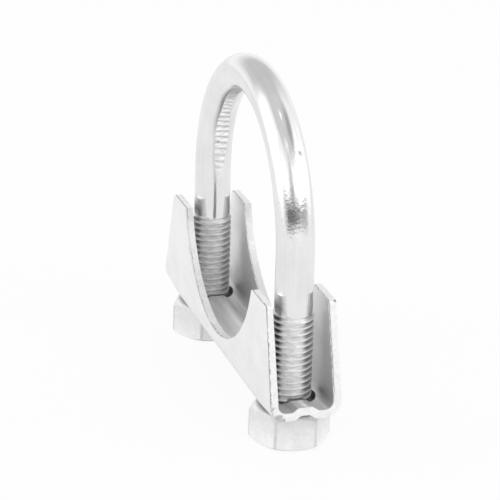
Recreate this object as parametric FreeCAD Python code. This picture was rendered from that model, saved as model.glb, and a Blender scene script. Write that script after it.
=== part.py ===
"""Exhaust pipe clamp: a U-bolt, a folded saddle and the two nuts that it stands on.

Millimetres and degrees. X runs from stud to stud, Y along the pipe and Z up.
The origin is on the floor under the nuts, midway between the two studs.
"""
import FreeCAD, Part
import math
import os

# Pipe and rod
pipe_diameter = 58.5            # across the inside of the bend, on its gripping flat
rod_diameter = 9.0              # bare rod, as drawn
flat_depth = 0.4                # how deep the gripping flat is pressed into the bend

# Grip teeth across the flat, all round the bend
grip_pitch = 1.75
grip_depth = 0.3
grip_angle = 80.0               # included angle of one notch
grip_margin = 0.15              # how far the notches end inside the flat's two edges

# Studs
thread_diameter = 9.85          # over the crests of the rolled thread
thread_length = 31.5
thread_runout = 0.8             # length of the cone between thread and bare rod
stud_chamfer = 1.0
stud_recess = 0.9               # how far the stud ends lie above the floor, inside the nuts

# Nuts
nut_across_flats = 17.0
nut_height = 8.4
nut_face_share = 0.96           # width of the round end faces, as a share of the flats
nut_chamfer_angle = 30.0
thread_clearance = 0.05         # all round, between the stud and the nut's bore
bore_chamfer = 0.6
right_nut_turn = 22.0           # a corner of the nut, counted from +X
left_nut_turn = 31.5

# Saddle: one folded sheet
sheet = 2.0
fold_radius = 2.0               # inside the folds
wall_height = 27.5
seat_floor = 5.95               # lowest point of the pipe seat above the saddle's underside
seat_step = 0.5                 # how much smaller the seat's radius is than the U's
open_gap = 1.35                 # how far the clamp stands open on its pipe
land_overhang = 4.95            # from the stud's axis to the outer end of the wall's top
end_overhang = 11.65            # from the stud's axis to the end of the web
knee_height = 5.5               # where the sloping end of a wall turns upright
knee_radius = 5.0
land_radius = 0.8
hole_clearance = 1.0            # all round, between the stud and its hole in the web
hole_margin = 0.775             # from each hole to the walls beside it
end_lift = 1.1                  # how far the web's ends bend up
lift_inset = 3.0                # the ends bend up from this far inside the stud's axis

# Stiffening bead, pressed up along the middle of the web
bead_width = 6.4
bead_height = 1.1
bead_slope = 38.0
bead_radius = 1.5

# Worked out from the sizes above
pipe_radius = pipe_diameter / 2
rod_radius = rod_diameter / 2
stud_radius = thread_diameter / 2
leg_x = pipe_radius + rod_radius - flat_depth
flat_half_width = math.sqrt(rod_radius ** 2 - (rod_radius - flat_depth) ** 2)
seat_radius = pipe_radius - seat_step
underside = nut_height
seat_centre = seat_floor + seat_radius
bend_z = underside + seat_floor + pipe_radius + open_gap
stud_top = stud_recess + thread_length
land_x = leg_x + land_overhang
end_x = leg_x + end_overhang
hole_radius = stud_radius + hole_clearance
saddle_width = 2 * (hole_radius + hole_margin + sheet)
trim = 4 * sheet                # surplus on shapes that only cut or are trimmed

ORIGIN = FreeCAD.Vector(0, 0, 0)
ALONG_Y = FreeCAD.Vector(0, 1, 0)
UP = FreeCAD.Vector(0, 0, 1)


def rounded_outline(corners):
    """Return a closed wire through corners, each a point and the radius that rounds it."""
    edges = []
    first_start = None
    last_end = None
    for i, (point, radius) in enumerate(corners):
        to_last = (corners[i - 1][0] - point).normalize()
        to_next = (corners[(i + 1) % len(corners)][0] - point).normalize()
        half = to_last.getAngle(to_next) / 2
        reach = radius / math.tan(half)
        start = point + to_last * reach
        end = point + to_next * reach
        if last_end is not None:
            edges.append(Part.LineSegment(last_end, start).toShape())
        if radius > 0:
            inward = (to_last + to_next).normalize()
            middle = point + inward * (radius / math.sin(half) - radius)
            edges.append(Part.Arc(start, middle, end).toShape())
        if first_start is None:
            first_start = start
        last_end = end
    edges.append(Part.LineSegment(last_end, first_start).toShape())
    return Part.Wire(edges)


def mirrored(half):
    """Return the corners of half, each (across, up, radius), followed by their mirror image."""
    return half + [(-across, up, radius) for across, up, radius in reversed(half)]


def bend_section():
    """Face across the bend's right end, with the gripping flat on its inner side."""
    low = FreeCAD.Vector(pipe_radius, -flat_half_width, bend_z)
    outer = FreeCAD.Vector(leg_x + rod_radius, 0, bend_z)
    high = FreeCAD.Vector(pipe_radius, flat_half_width, bend_z)
    round_side = Part.Arc(low, outer, high).toShape()
    flat_side = Part.LineSegment(high, low).toShape()
    return Part.Face(Part.Wire([round_side, flat_side]))


def stud():
    """Threaded end of the right leg, as a plain shaft over its crests."""
    profile = [
        FreeCAD.Vector(0, 0, stud_recess),
        FreeCAD.Vector(stud_radius - stud_chamfer, 0, stud_recess),
        FreeCAD.Vector(stud_radius, 0, stud_recess + stud_chamfer),
        FreeCAD.Vector(stud_radius, 0, stud_top - thread_runout),
        FreeCAD.Vector(rod_radius, 0, stud_top),
        FreeCAD.Vector(0, 0, stud_top),
    ]
    face = Part.Face(Part.makePolygon(profile + profile[:1]))
    return face.revolve(ORIGIN, UP, 360).translated(FreeCAD.Vector(leg_x, 0, 0))


def grip_notches():
    """Return the wedges, inside the flat's edges, that leave the grip teeth between them."""
    count = int(math.pi * pipe_radius / grip_pitch)
    step = 180 / count
    half_width = flat_half_width - grip_margin
    half_mouth = (grip_depth + flat_depth) * math.tan(math.radians(grip_angle / 2))
    mouth_x = pipe_radius - flat_depth
    wedge = Part.Face(Part.makePolygon([
        FreeCAD.Vector(pipe_radius + grip_depth, -half_width, bend_z),
        FreeCAD.Vector(mouth_x, -half_width, bend_z + half_mouth),
        FreeCAD.Vector(mouth_x, -half_width, bend_z - half_mouth),
        FreeCAD.Vector(pipe_radius + grip_depth, -half_width, bend_z),
    ])).extrude(ALONG_Y * 2 * half_width)
    centre = FreeCAD.Vector(0, 0, bend_z)
    wedges = []
    for i in range(1, count):
        turned = wedge.copy()
        turned.rotate(centre, ALONG_Y, -i * step)
        wedges.append(turned)
    return Part.makeCompound(wedges)


def u_bolt():
    """Rod bent to a U, with two studs, and with a gripping flat that fades out on the shanks."""
    bend = bend_section().revolve(FreeCAD.Vector(0, 0, bend_z), -ALONG_Y, 180)
    shank_start = FreeCAD.Vector(leg_x, 0, stud_top)
    shank = Part.makeCylinder(rod_radius, bend_z - stud_top, shank_start, UP)
    mandrel_start = FreeCAD.Vector(0, -rod_diameter, bend_z)
    mandrel = Part.makeCylinder(pipe_radius, 2 * rod_diameter, mandrel_start, ALONG_Y)
    leg = shank.cut(mandrel).fuse(stud())
    other_leg = leg.mirror(ORIGIN, FreeCAD.Vector(1, 0, 0))
    return bend.fuse([leg, other_leg]).cut(grip_notches()).removeSplitter()


def saddle_section():
    """Face across the saddle, with its two walls, folds and bead, its underside at Z 0."""
    half = saddle_width / 2
    top = wall_height + trim
    slope = math.radians(bead_slope)
    run = bead_height / math.tan(slope)
    setback = sheet * math.tan(slope / 2)
    crown = bead_width / 2 - run
    outside = [
        (crown - setback, bead_height, bead_radius),
        (bead_width / 2 - setback, 0, bead_radius),
        (half, 0, fold_radius + sheet),
        (half, top, 0),
    ]
    inside = [
        (half - sheet, top, 0),
        (half - sheet, sheet, fold_radius),
        (bead_width / 2, sheet, bead_radius),
        (crown, sheet + bead_height, bead_radius),
    ]
    corners = mirrored(outside + inside)
    wire = rounded_outline([(FreeCAD.Vector(0, y, z), radius) for y, z, radius in corners])
    return Part.Face(wire)


def saddle_channel():
    """Folded channel, straight between the studs and bent up a little at its ends."""
    crease = FreeCAD.Vector(leg_x - lift_inset, 0, 0)
    lift_angle = math.degrees(math.atan2(end_lift, end_x - crease.x))
    prism = saddle_section().extrude(FreeCAD.Vector(2 * end_x, 0, 0))
    corner = FreeCAD.Vector(crease.x, -end_x, -end_x)
    outside = Part.makeBox(2 * end_x, 2 * end_x, 3 * end_x, corner)
    outside.rotate(crease, -ALONG_Y, lift_angle / 2)
    tip = prism.copy()
    tip.rotate(crease, -ALONG_Y, lift_angle)
    half = prism.cut(outside).fuse(tip.common(outside))
    return half.fuse(half.mirror(ORIGIN, FreeCAD.Vector(1, 0, 0)))


def saddle_side():
    """Prism of the saddle's outline as seen along the pipe."""
    half = [
        (end_x, -trim, 0),
        (end_x, knee_height, knee_radius),
        (land_x, wall_height, land_radius),
    ]
    corners = [(FreeCAD.Vector(x, -saddle_width, z), radius) for x, z, radius in mirrored(half)]
    return Part.Face(rounded_outline(corners)).extrude(ALONG_Y * 2 * saddle_width)


def saddle():
    """Saddle with its pipe seat and the holes for the studs, on top of the nuts."""
    body = saddle_channel().common(saddle_side())
    seat_start = FreeCAD.Vector(0, -saddle_width, seat_centre)
    tools = [Part.makeCylinder(seat_radius, 2 * saddle_width, seat_start, ALONG_Y)]
    for side in (-1, 1):
        hole_start = FreeCAD.Vector(side * leg_x, 0, -trim)
        tools.append(Part.makeCylinder(hole_radius, 2 * trim + sheet, hole_start, UP))
    return body.cut(tools).removeSplitter().translated(UP * underside)


def nut(x, turn):
    """Hexagon nut on the floor round the stud at x, with one corner turned from +X."""
    corner_radius = nut_across_flats / math.sqrt(3)
    corners = []
    for i in range(7):
        angle = math.radians(turn + 60 * i)
        corners.append(FreeCAD.Vector(math.cos(angle), math.sin(angle), 0) * corner_radius)
    prism = Part.Face(Part.makePolygon(corners)).extrude(UP * nut_height)
    face_radius = nut_across_flats * nut_face_share / 2
    bore_radius = stud_radius + thread_clearance
    drop = (corner_radius - face_radius) * math.tan(math.radians(nut_chamfer_angle))
    profile = [
        FreeCAD.Vector(bore_radius, 0, bore_chamfer),
        FreeCAD.Vector(bore_radius + bore_chamfer, 0, 0),
        FreeCAD.Vector(face_radius, 0, 0),
        FreeCAD.Vector(corner_radius, 0, drop),
        FreeCAD.Vector(corner_radius, 0, nut_height - drop),
        FreeCAD.Vector(face_radius, 0, nut_height),
        FreeCAD.Vector(bore_radius + bore_chamfer, 0, nut_height),
        FreeCAD.Vector(bore_radius, 0, nut_height - bore_chamfer),
    ]
    turned = Part.Face(Part.makePolygon(profile + profile[:1])).revolve(ORIGIN, UP, 360)
    return prism.common(turned).removeSplitter().translated(FreeCAD.Vector(x, 0, 0))


def export(name, shape):
    """Write one solid to its file and print what it measures."""
    solid = shape.Solids[0]
    solid.exportStep("parts/" + name + ".step")
    box = solid.BoundBox
    print(name, "solids", len(shape.Solids), "valid", solid.isValid(), "volume", round(solid.Volume, 1),
          "box", round(box.XLength, 2), round(box.YLength, 2), round(box.ZLength, 2))


os.makedirs("parts", exist_ok=True)
export("u_bolt", u_bolt())
export("saddle", saddle())
export("right_nut", nut(leg_x, right_nut_turn))
export("left_nut", nut(-leg_x, left_nut_turn))
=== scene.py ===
"""Exhaust clamp: its finished pieces, floor, lamps and camera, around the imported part.

The U-bolt, the saddle and the two nuts are built here in full detail, and stand for the four
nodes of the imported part. Sizes are in metres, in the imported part's frame: X runs from stud to
stud, Y along the pipe and Z up, from the floor under the nuts.
"""

import logging
import math
from dataclasses import dataclass, field
from enum import Enum
from typing import Optional, Union

import bmesh
import bpy
from mathutils import Matrix, Vector


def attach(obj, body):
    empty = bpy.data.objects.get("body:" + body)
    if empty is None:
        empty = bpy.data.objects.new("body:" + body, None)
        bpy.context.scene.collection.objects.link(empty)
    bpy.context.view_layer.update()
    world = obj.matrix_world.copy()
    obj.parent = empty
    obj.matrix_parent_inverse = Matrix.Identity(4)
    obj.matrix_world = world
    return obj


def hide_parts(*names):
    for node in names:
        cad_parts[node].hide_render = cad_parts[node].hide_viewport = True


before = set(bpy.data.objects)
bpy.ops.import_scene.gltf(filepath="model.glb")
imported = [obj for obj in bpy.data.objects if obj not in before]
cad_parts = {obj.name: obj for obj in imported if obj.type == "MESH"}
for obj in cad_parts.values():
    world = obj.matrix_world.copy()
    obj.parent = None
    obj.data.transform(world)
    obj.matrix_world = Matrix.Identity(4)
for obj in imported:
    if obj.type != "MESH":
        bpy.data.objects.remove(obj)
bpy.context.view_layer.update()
log = logging.getLogger("exhaust_clamp")

MM = 0.001
PIPE_RADIUS = 29.25 * MM
ROD_RADIUS = 4.5 * MM
FLAT_DEPTH = 0.4 * MM
LEG_X = PIPE_RADIUS + ROD_RADIUS - FLAT_DEPTH
BEND_Z = 44.94 * MM
THREAD_PITCH = 1.5 * MM
THREAD_CREST = 4.925 * MM
THREAD_DEPTH = 0.75 * MM
NUT_HEIGHT = 8.4 * MM
WELD_DISTANCE = 0.004 * MM


class Body(Enum):
    """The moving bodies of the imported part."""

    U_BOLT = "u_bolt"
    SADDLE = "saddle"
    RIGHT_NUT = "right_nut"
    LEFT_NUT = "left_nut"


class Steel(Enum):
    """The record's material slots."""

    ROD = "rod_steel"
    SHEET = "sheet_steel"
    NUT = "nut_steel"


class Side(Enum):
    """The two legs of the clamp, by the sign of their X."""

    RIGHT = 1
    LEFT = -1


Number = Union["Field", float]


class Field:
    """A number in a node tree, so that a formula can be written as plain arithmetic."""

    def __init__(self, tree: bpy.types.NodeTree, socket: bpy.types.NodeSocket) -> None:
        """Keep the tree and the socket that carries the number."""
        self.tree = tree
        self.socket = socket

    def calculated(self, operation: str, *terms: Number) -> "Field":
        """Return the result of a math node.

        Args:
            operation: The node's operation, such as ADD.
            terms: Its inputs in order.

        Returns:
            The node's result.
        """
        node = self.tree.nodes.new("ShaderNodeMath")
        node.operation = operation
        for socket, term in zip(node.inputs, terms):
            if isinstance(term, Field):
                self.tree.links.new(term.socket, socket)
            else:
                socket.default_value = term
        return Field(self.tree, node.outputs[0])

    def __add__(self, other: Number) -> "Field":
        """Return self + other."""
        return self.calculated("ADD", self, other)

    def __radd__(self, other: Number) -> "Field":
        """Return other + self."""
        return self.calculated("ADD", other, self)

    def __sub__(self, other: Number) -> "Field":
        """Return self - other."""
        return self.calculated("SUBTRACT", self, other)

    def __rsub__(self, other: Number) -> "Field":
        """Return other - self."""
        return self.calculated("SUBTRACT", other, self)

    def __mul__(self, other: Number) -> "Field":
        """Return self * other."""
        return self.calculated("MULTIPLY", self, other)

    def __rmul__(self, other: Number) -> "Field":
        """Return other * self."""
        return self.calculated("MULTIPLY", other, self)

    def __truediv__(self, other: Number) -> "Field":
        """Return self / other."""
        return self.calculated("DIVIDE", self, other)

    def __rtruediv__(self, other: Number) -> "Field":
        """Return other / self."""
        return self.calculated("DIVIDE", other, self)

    def least(self, other: Number) -> "Field":
        """Return the smaller of the two."""
        return self.calculated("MINIMUM", self, other)

    def most(self, other: Number) -> "Field":
        """Return the larger of the two."""
        return self.calculated("MAXIMUM", self, other)

    def clamped(self, low: Number = 0.0, high: Number = 1.0) -> "Field":
        """Return the number held between low and high."""
        return self.most(low).least(high)

    def fraction(self) -> "Field":
        """Return the part after the decimal point."""
        return self.calculated("FRACT", self)

    def size(self) -> "Field":
        """Return the number without its sign."""
        return self.calculated("ABSOLUTE", self)

    def root(self) -> "Field":
        """Return the square root."""
        return self.calculated("SQRT", self)

    def sine(self) -> "Field":
        """Return the sine of an angle in radians."""
        return self.calculated("SINE", self)

    def cosine(self) -> "Field":
        """Return the cosine of an angle in radians."""
        return self.calculated("COSINE", self)

    def eased(self) -> "Field":
        """Return 0 to 1 with a smooth start and end, for a number from 0 to 1."""
        return self * self * (3.0 - 2.0 * self)


class Recipe:
    """A Geometry Nodes tree in the making, with a named input for each of its sizes."""

    def __init__(self, name: str) -> None:
        """Start an empty tree that hands out one geometry."""
        self.tree = bpy.data.node_groups.new(name, "GeometryNodeTree")
        self.tree.is_modifier = True
        self.tree.interface.new_socket("Geometry", in_out="OUTPUT", socket_type="NodeSocketGeometry")
        self.entry = self.tree.nodes.new("NodeGroupInput")
        self.exit = self.tree.nodes.new("NodeGroupOutput")

    def node(self, kind: str, **inputs: object) -> bpy.types.Node:
        """Add a node and fill or link its inputs.

        Args:
            kind: The node's type name.
            inputs: Values, Fields or sockets, by the input's name with _ for a space.

        Returns:
            The node.
        """
        node = self.tree.nodes.new(kind)
        for name, value in inputs.items():
            socket = node.inputs[name.replace("_", " ")]
            if isinstance(value, Field):
                self.tree.links.new(value.socket, socket)
            elif isinstance(value, bpy.types.NodeSocket):
                self.tree.links.new(value, socket)
            else:
                socket.default_value = value
        return node

    def named(self, name: str, kind: str = "NodeSocketFloat") -> Field:
        """Add a named input to the tree and return it."""
        self.tree.interface.new_socket(name, in_out="INPUT", socket_type=kind)
        return Field(self.tree, self.entry.outputs[name])

    def several(self, *names: str) -> list[Field]:
        """Add named inputs for numbers and return them."""
        return [self.named(name) for name in names]

    def split(self, place: bpy.types.NodeSocket) -> list[Field]:
        """Return the three numbers of a place."""
        parts = self.node("ShaderNodeSeparateXYZ", Vector=place)
        return [Field(self.tree, socket) for socket in parts.outputs]

    def unrolled_grid(self, rows: Field, columns: Field) -> tuple[bpy.types.NodeSocket, Field, Field]:
        """Add a flat grid that a surface is then shaped from.

        Args:
            rows: How many rows of points run along the surface.
            columns: How many points go round it.

        Returns:
            The grid, the share of the way along it and the share of the way round it.
        """
        grid = self.node("GeometryNodeMeshGrid", Vertices_X=rows, Vertices_Y=columns + 1.0)
        x, y = self.split(self.node("GeometryNodeInputPosition").outputs[0])[:2]
        return grid.outputs["Mesh"], x + 0.5, y + 0.5

    def stored(self, geometry: bpy.types.NodeSocket, name: str, *values: Number) -> bpy.types.NodeSocket:
        """Keep one or three numbers on each point under a name that a material can read."""
        node = self.node("GeometryNodeStoreNamedAttribute", Geometry=geometry, Name=name)
        if len(values) == 1:
            source = values[0].socket
        else:
            node.data_type = "FLOAT_VECTOR"
            source = self.node("ShaderNodeCombineXYZ", X=values[0], Y=values[1], Z=values[2]).outputs[0]
        self.tree.links.new(source, node.inputs["Value"])
        return node.outputs["Geometry"]

    def placed(self, geometry: bpy.types.NodeSocket, x: Number, y: Number,
               z: Number) -> bpy.types.NodeSocket:
        """Move each point of a geometry to the place that three numbers give."""
        place = self.node("ShaderNodeCombineXYZ", X=x, Y=y, Z=z)
        moved = self.node("GeometryNodeSetPosition", Geometry=geometry, Position=place.outputs[0])
        return moved.outputs["Geometry"]

    def flipped(self, geometry: bpy.types.NodeSocket) -> bpy.types.NodeSocket:
        """Turn the faces of a geometry over."""
        return self.node("GeometryNodeFlipFaces", Mesh=geometry).outputs["Mesh"]

    def finish(self, parts: list[bpy.types.NodeSocket]) -> None:
        """Join and weld the parts, make them real, dress them and end the tree."""
        material = self.named("Material", "NodeSocketMaterial")
        joined = self.node("GeometryNodeJoinGeometry")
        for part in parts:
            self.tree.links.new(part, joined.inputs[0])
        welded = self.node(
            "GeometryNodeMergeByDistance", Geometry=joined.outputs[0], Distance=WELD_DISTANCE)
        smooth = self.node("GeometryNodeSetShadeSmooth", Geometry=welded.outputs[0])
        real = self.node("GeometryNodeRealizeInstances", Geometry=smooth.outputs[0])
        dressed = self.node("GeometryNodeSetMaterial", Geometry=real.outputs[0], Material=material)
        self.tree.links.new(dressed.outputs[0], self.exit.inputs[0])

    def grow(self, piece: bpy.types.Object, values: dict[str, object]) -> bpy.types.Object:
        """Run the tree on a piece and make the result its plain mesh.

        Args:
            piece: The object that holds the starting mesh, which may be empty.
            values: The tree's inputs by name.

        Returns:
            The same piece.
        """
        modifier = piece.modifiers.new("recipe", "NODES")
        modifier.node_group = self.tree
        for item in self.tree.interface.items_tree:
            if item.in_out == "INPUT" and item.name in values:
                modifier[item.identifier] = values[item.name]
        return settled(piece)


def new_piece(name: str, mesh: Optional[bpy.types.Mesh] = None) -> bpy.types.Object:
    """Add an object at the origin, with a mesh or an empty one."""
    piece = bpy.data.objects.new(name, mesh or bpy.data.meshes.new(name))
    bpy.context.scene.collection.objects.link(piece)
    return piece


def settled(piece: bpy.types.Object) -> bpy.types.Object:
    """Make what a piece's modifiers give its plain mesh, and remove them."""
    bpy.context.view_layer.update()
    evaluated = piece.evaluated_get(bpy.context.evaluated_depsgraph_get())
    mesh = bpy.data.meshes.new_from_object(evaluated)
    piece.modifiers.clear()
    piece.data = mesh
    mesh.name = piece.name
    return piece


def flat_faces_kept(piece: bpy.types.Object, angle: float) -> bpy.types.Object:
    """Shade a piece smooth, but keep its edges over an angle sharp and its planes flat."""
    for polygon in piece.data.polygons:
        polygon.use_smooth = True
    piece.data.set_sharp_from_angle(angle=angle)
    weighted = piece.modifiers.new("weighted", "WEIGHTED_NORMAL")
    weighted.keep_sharp = True
    return settled(piece)


def handed_over(piece: bpy.types.Object, body: Body) -> bpy.types.Object:
    """Let a piece stand for its node and move with its body."""
    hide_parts(body.value)
    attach(piece, body.value)
    faces = sum(len(polygon.vertices) - 2 for polygon in piece.data.polygons)
    log.info("%s: %d triangles, on body %s", piece.name, faces, body.value)
    return piece


class Effect:
    """A shader node group in the making: one effect that several finishes share."""

    def __init__(self, name: str, inputs: dict[str, float], outputs: list[str]) -> None:
        """Start the group with its named inputs, their usual values and its outputs."""
        self.tree = bpy.data.node_groups.new(name, "ShaderNodeTree")
        for label, value in inputs.items():
            socket = self.tree.interface.new_socket(label, in_out="INPUT", socket_type="NodeSocketFloat")
            socket.default_value = value
        for label in outputs:
            self.tree.interface.new_socket(label, in_out="OUTPUT", socket_type="NodeSocketFloat")
        self.entry = self.tree.nodes.new("NodeGroupInput")
        self.exit = self.tree.nodes.new("NodeGroupOutput")

    def value(self, label: str) -> Field:
        """Return one of the group's inputs."""
        return Field(self.tree, self.entry.outputs[label])

    def give(self, label: str, value: Field) -> None:
        """Send a number to one of the group's outputs."""
        self.tree.links.new(value.socket, self.exit.inputs[label])

    def object_place(self) -> bpy.types.NodeSocket:
        """Return the place on the object."""
        return self.tree.nodes.new("ShaderNodeTexCoord").outputs["Object"]

    def run_place(self, stretch: tuple[float, float, float]) -> bpy.types.NodeSocket:
        """Return the place in the piece's own run, along its rod or sheet, stretched along its axes."""
        run = self.tree.nodes.new("ShaderNodeAttribute")
        run.attribute_name = "run"
        mapping = self.tree.nodes.new("ShaderNodeMapping")
        mapping.inputs["Scale"].default_value = stretch
        self.tree.links.new(run.outputs["Vector"], mapping.inputs["Vector"])
        return mapping.outputs["Vector"]

    def split(self, place: bpy.types.NodeSocket) -> list[Field]:
        """Return the three numbers of a place."""
        parts = self.tree.nodes.new("ShaderNodeSeparateXYZ")
        self.tree.links.new(place, parts.inputs[0])
        return [Field(self.tree, socket) for socket in parts.outputs]

    def attribute(self, name: str) -> Field:
        """Return a number that the piece keeps on its points, or 0 where it keeps none."""
        node = self.tree.nodes.new("ShaderNodeAttribute")
        node.attribute_name = name
        return Field(self.tree, node.outputs["Fac"])

    def noise(self, place: bpy.types.NodeSocket, scale: Number, detail: float = 3.0) -> Field:
        """Return cloudy noise, about 0 to 1, at a place."""
        node = self.tree.nodes.new("ShaderNodeTexNoise")
        node.inputs["Detail"].default_value = detail
        self.tree.links.new(place, node.inputs["Vector"])
        if isinstance(scale, Field):
            self.tree.links.new(scale.socket, node.inputs["Scale"])
        else:
            node.inputs["Scale"].default_value = scale
        return Field(self.tree, node.outputs[0])


def spread(value: Field, low: Number, high: Number) -> Field:
    """Stretch a number so that low becomes 0 and high becomes 1, held between them."""
    return ((value - low) / (high - low)).clamped()


def distance(first: Field, *others: Field) -> Field:
    """Return the straight distance that two or three sides at right angles span."""
    return sum((side * side for side in others), first * first).root()


@dataclass(frozen=True)
class Ramp:
    """A stretch of a measure over which a mask comes in or goes out.

    Attributes:
        low: Where the stretch starts.
        high: Where it ends.
    """

    low: float
    high: float

    def rise(self, value: Field, start: Number = 0.0) -> Field:
        """Return 0 below the stretch and 1 above it, where it is counted from start."""
        return spread(value, start + self.low, start + self.high)

    def fall(self, value: Field, start: Number = 0.0) -> Field:
        """Return 1 below the stretch and 0 above it, where it is counted from start."""
        return 1.0 - self.rise(value, start)


CLOUDS = Ramp(0.35, 0.65)
SPECKS = Ramp(0.3, 0.7)
UNEVEN_SCALE = 700.0
GRAIN_SCALE = 2600.0
THREAD_FLANK = Ramp(0.03, 0.47)


def mottle_effect() -> bpy.types.NodeTree:
    """Cloudy patches with finer specks, as zinc plating shows them."""
    sizes = {"Patch Scale": 180.0, "Speck Scale": 900.0, "Specks": 0.4}
    effect = Effect("plating_mottle", sizes, ["Tone", "Patches", "Specks"])
    place = effect.object_place()
    patches = effect.noise(place, effect.value("Patch Scale"))
    specks = effect.noise(place, effect.value("Speck Scale"), 4.0)
    share = effect.value("Specks")
    effect.give("Tone", CLOUDS.rise(patches) * (1.0 - share) + SPECKS.rise(specks) * share)
    effect.give("Patches", patches)
    effect.give("Specks", specks)
    return effect.tree


def drawn_effect() -> bpy.types.NodeTree:
    """Fine lines along a piece, as a drawing die leaves them, and short dashes across it."""
    effect = Effect("drawn_lines", {"Line Scale": 2200.0, "Dash Scale": 1700.0}, ["Lines", "Dashes"])
    lines = effect.noise(effect.run_place((1.0, 1.0, 0.03)), effect.value("Line Scale"))
    dashes = effect.noise(effect.run_place((0.3, 0.3, 1.6)), effect.value("Dash Scale"))
    effect.give("Lines", SPECKS.rise(lines))
    effect.give("Dashes", dashes)
    return effect.tree


@dataclass(frozen=True)
class Spot:
    """A point of the surface, as the numbers that its painted shade and its marks are worked out from.

    Attributes:
        along: Its X, from stud to stud.
        across: Its Y, along the pipe.
        height: Its Z.
        uneven: Cloudy noise there, from 0 to 1.
        grain: Fine noise there, from 0 to 1.
    """

    along: Field
    across: Field
    height: Field
    uneven: Field
    grain: Field

    def past_stud(self) -> Field:
        """Return how far out along X the point lies from the nearer stud's axis."""
        return self.along.size() - LEG_X


@dataclass(frozen=True)
class Crevices:
    """Painted shade deep between the saddle's walls, where the web sits on its nuts and in the holes of
    its studs.

    Attributes:
        wall: Stretch in which a wall's inner face lies, from the middle.
        corner: Where the painted shade thickens towards a wall.
        depth: Heights over which it thins out.
        nut_rim: Where a nut's contact ends, from its axis.
        nut_top: Heights over which that contact ends.
        hole: Radii between a hole's wall and the web's faces.
        hole_share: How dark the painted shade on a hole's wall is.
    """

    wall: Ramp = Ramp(6.75 * MM, 6.85 * MM)
    corner: Ramp = Ramp(5.0 * MM, 6.6 * MM)
    depth: Ramp = Ramp(10.0 * MM, 34.0 * MM)
    nut_rim: Ramp = Ramp(8.5 * MM, 9.1 * MM)
    nut_top: Ramp = Ramp(8.7 * MM, 9.2 * MM)
    hole: Ramp = Ramp(5.93 * MM, 5.96 * MM)
    hole_share: float = 0.8

    def between_walls(self, spot: Spot) -> Field:
        """Return the painted shade in the channel's two corners, darker towards the bottom."""
        aside = spot.across.size()
        return self.wall.fall(aside) * self.corner.rise(aside).eased() * self.depth.fall(spot.height)

    def by_nuts(self, spot: Spot) -> Field:
        """Return the painted shade where the web meets a nut and in the holes' walls."""
        from_axis = distance(spot.past_stud(), spot.across)
        touching = self.nut_rim.fall(from_axis) * self.nut_top.fall(spot.height)
        return touching.most(self.hole.fall(from_axis) * self.hole_share)


@dataclass(frozen=True)
class WebCrown:
    """The bead's crown under each stud: a painted highlight along it, made as a less metallic and rougher
    streak, and painted shade on one side of it.

    Attributes:
        middle: Where the bright streak runs, across the saddle.
        side: How far from its middle the streak fades.
        top: Heights over which the crown begins.
        beyond_stud: Where the saddle's end begins, from the stud's axis.
        inner_share: How much of the streak shows between the studs.
        web_low: Heights over which the web's upper face begins.
        web_high: Heights over which it ends.
        shaded_side: How far to the side the painted shade begins.
        soil: How dark the painted shade is, for a full depth between the walls.
    """

    middle: float = 0.3 * MM
    side: Ramp = Ramp(0.3 * MM, 0.9 * MM)
    top: Ramp = Ramp(10.8 * MM, 11.2 * MM)
    beyond_stud: Ramp = Ramp(1.0 * MM, 3.0 * MM)
    inner_share: float = 0.4
    web_low: Ramp = Ramp(10.3 * MM, 10.5 * MM)
    web_high: Ramp = Ramp(12.2 * MM, 13.5 * MM)
    shaded_side: Ramp = Ramp(0.8 * MM, 1.8 * MM)
    soil: float = 1.4

    def streak(self, spot: Spot) -> Field:
        """Return the crown's painted highlight, a streak that is made less metallic and rougher."""
        on_crown = self.side.fall((spot.across - self.middle).size()) * self.top.rise(spot.height)
        at_end = self.beyond_stud.rise(spot.past_stud())
        return on_crown * (self.inner_share + at_end * (1.0 - self.inner_share))

    def beside(self, spot: Spot, inside: Field) -> Field:
        """Return the painted shade on the web beside the crown, where a point lies inside the walls."""
        on_web = inside * self.web_low.rise(spot.height) * self.web_high.fall(spot.height)
        at_end = self.beyond_stud.rise(spot.past_stud())
        return on_web * at_end * self.shaded_side.rise(0.0 - spot.across) * self.soil


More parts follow.
